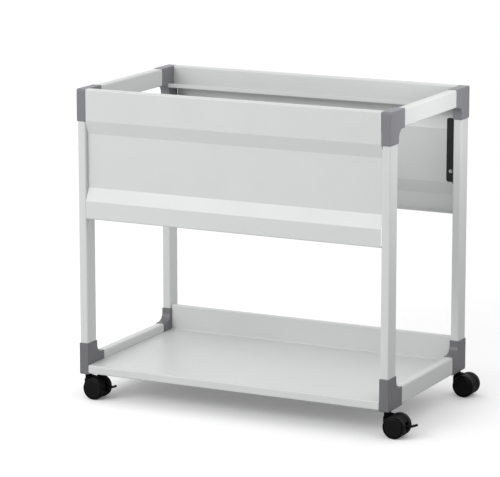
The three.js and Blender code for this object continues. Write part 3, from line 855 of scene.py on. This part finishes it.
def makeWheel():
    low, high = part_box("rear_right_castor_rear_wheel")
    swivelY = swivelAxis("rear_right")[1]
    inner, outer = low.y - swivelY, high.y - swivelY
    rim = outer - wheel["discRise"]
    x, z = axle
    piece = newRound("wheelModel", z, (x, inner, z), (x, rim, z), wheelSides)
    startEdit(piece)
    for at, radius in [(rim, wheel["outerRound"]), (inner, wheel["innerRound"])]:
        pick("EDGE", edgeIn(axisY, at))
        bevelPicked(radius, wheel["roundSteps"])
    pick("FACE", faceOn(axisY, rim, 1))
    bpy.ops.mesh.inset(thickness=wheel["land"])
    extrude(y=-wheel["grooveDeep"])
    bpy.ops.mesh.inset(thickness=wheel["grooveWide"])
    extrude(y=wheel["grooveDeep"] + wheel["discRise"])
    bpy.ops.mesh.inset(thickness=wheel["discRing"])
    pick("EDGE", lambda e: edgeIn(axisY, outer)(e) and any(f.normal.y < aligned for f in e.link_faces))
    bevelPicked(wheel["discRound"], wheel["roundSteps"])
    pick("FACE", lambda f: faceOn(axisY, outer, 1)(f) and len(f.verts) == wheelSides)
    bpy.ops.mesh.inset(thickness=wheel["dishRing"])
    bpy.ops.mesh.inset(thickness=wheel["dishRing"], depth=-wheel["dishDeep"])
    pick("FACE", faceOn(axisY, inner, -1))
    bpy.ops.mesh.inset(thickness=z - wheel["innerRound"] - wheel["bore"])
    extrude(y=wheel["boreDeep"])
    endEdit()
    piece.data.materials.append(blackPlastic)
    piece.data.materials.append(treadPlastic)
    startEdit(piece)
    hub = Vector((x, 0, z))
    pick("FACE", lambda f: abs(f.normal.y) < wheel["treadSlope"]
         and (f.calc_center_median() - hub).xz.length > z - wheel["treadDeep"])
    piece.active_material_index = 1
    bpy.ops.object.material_slot_assign()
    endEdit()
    return piece


lever = {"pivot": (36.5 * mm, 31 * mm), "knee": (50.5 * mm, 28 * mm), "tip": (69.5 * mm, 35 * mm),
         "sheet": 5 * mm, "bend": 5 * mm, "half": 5.4 * mm, "corner": 5.184 * mm, "edge": 1.5 * mm,
         "edgeSteps": 3, "hub": 4.2 * mm, "hubHalf": 5.3 * mm, "pin": 2.2 * mm, "pinHalf": 7.6 * mm,
         "pinHole": 2.42 * mm, "slotHalf": 5.7 * mm, "slotLow": 18.4 * mm, "slotHigh": 35.5 * mm,
         "slotBack": 32 * mm}


def makeLever():
    line = [lever["tip"], lever["knee"], lever["pivot"]]  # drawn in X and Z, the width along Y
    piece = foldSheet("leverModel", line, -lever["half"], lever["half"], lever, roundEnds=(True, False))
    piece.rotation_euler = (0, 0, -math.pi / 2)
    activate(piece)
    fixPlace()
    softened(piece, lever["edge"], lever["edgeSteps"])
    carved(piece, newCrossBar("hub", lever["hub"], lever["pivot"], lever["hubHalf"]), "UNION")
    carved(piece, newCrossBar("pin", lever["pin"], lever["pivot"], lever["pinHalf"]), "UNION")
    piece.data.materials.append(blackPlastic)
    return piece


hood = {"half": 7.9 * mm, "radius": 24 * mm, "floorGap": 8 * mm, "shoulder": 52 * mm, "seat": 42.2 * mm,
        "top": 54.2 * mm, "noseHalf": 7.5 * mm, "round": 1.4 * mm, "bossRound": 0.7 * mm, "roundSteps": 3,
        "rimAngle": 60, "noseAngle": 40, "stemBore": 5.3 * mm, "axleBore": 3.3 * mm}


def makeNose():  # from the boss back to the middle of the hood, its top nearly level
    x, z = axle
    half, shoulder = hood["noseHalf"], hood["shoulder"]
    nose = newBox("nose", (-half, -half, z), (0, half, shoulder))
    startEdit(nose)
    pick("FACE", lambda f: f.normal.x > aligned)
    extrude(x=x)
    for end, height, drop in [(-half, shoulder, shoulder - hood["seat"]), (x, z, z - hood["floorGap"]),
                              (x, shoulder, shoulder - z - hood["radius"])]:
        pick("VERT", lambda v: near(v.co.x, end) and near(v.co.z, height))
        bpy.ops.transform.translate(value=(0, 0, -drop))
    endEdit()
    softened(nose, hood["round"], hood["roundSteps"], hood["noseAngle"])
    return nose


def makeHood(braked):
    half = hood["half"]
    x, z = axle
    piece = newCrossBar("hoodModel", hood["radius"], axle, half, wheelSides)
    startEdit(piece)
    pickAll()
    bpy.ops.mesh.bisect(plane_co=(x, 0, hood["floorGap"]), plane_no=(0, 0, 1), use_fill=True,
                        clear_inner=True)
    endEdit()
    softened(piece, hood["round"], hood["roundSteps"], hood["rimAngle"])
    carved(piece, makeNose(), "UNION")
    boss = newRound("boss", half, (0, 0, z), (0, 0, hood["top"]))
    softened(boss, hood["bossRound"], hood["roundSteps"], rimOnly)
    carved(piece, boss, "UNION")
    carved(piece, newRound("stemBore", hood["stemBore"], (0, 0, hood["seat"]), (0, 0, hood["top"] + past)))
    carved(piece, newCrossBar("axleBore", hood["axleBore"], axle, half + past))
    if braked:
        slotLow = (lever["slotBack"], -lever["slotHalf"], lever["slotLow"])
        slotHigh = (x + hood["radius"] + past, lever["slotHalf"], lever["slotHigh"])
        carved(piece, newBox("slot", slotLow, slotHigh))
        carved(piece, newCrossBar("pinHole", lever["pinHole"], lever["pivot"], half + past))
    piece.data.materials.append(hoodPlastic)
    return piece


def makeCastors():
    stemModel, wheelModel, leverModel = makeStem(), makeWheel(), makeLever()
    plainHood, brakedHood = makeHood(False), makeHood(True)
    for corner, (_, sideY) in corners.items():
        braked = sideY < 0
        axis = swivelAxis(corner)
        place(stemModel, f"{corner}_castor_stem", shift=axis)
        place(brakedHood if braked else plainHood, f"{corner}_castor_hood", shift=axis)
        for face, sides in faces.items():
            place(wheelModel, f"{corner}_castor_{face}_wheel", flip=(*sides, 1), shift=axis)
        if braked:
            place(leverModel, f"{corner}_brake_lever", shift=axis)
        frame["nodes"][f"{corner}_castor_axle"].material_slots[0].material = zinc
    for model in [stemModel, wheelModel, leverModel, plainHood, brakedHood]:
        bpy.data.objects.remove(model)


makePanel()
makeHangingRail()
print("panels and hanging rails done")
makeTubes()
makeConnectors()
print("frame done")
makeShelf()
makeBracket()
makeFasteners()
print("shelf, brackets and fasteners done")
makeCastors()
print("castors done")
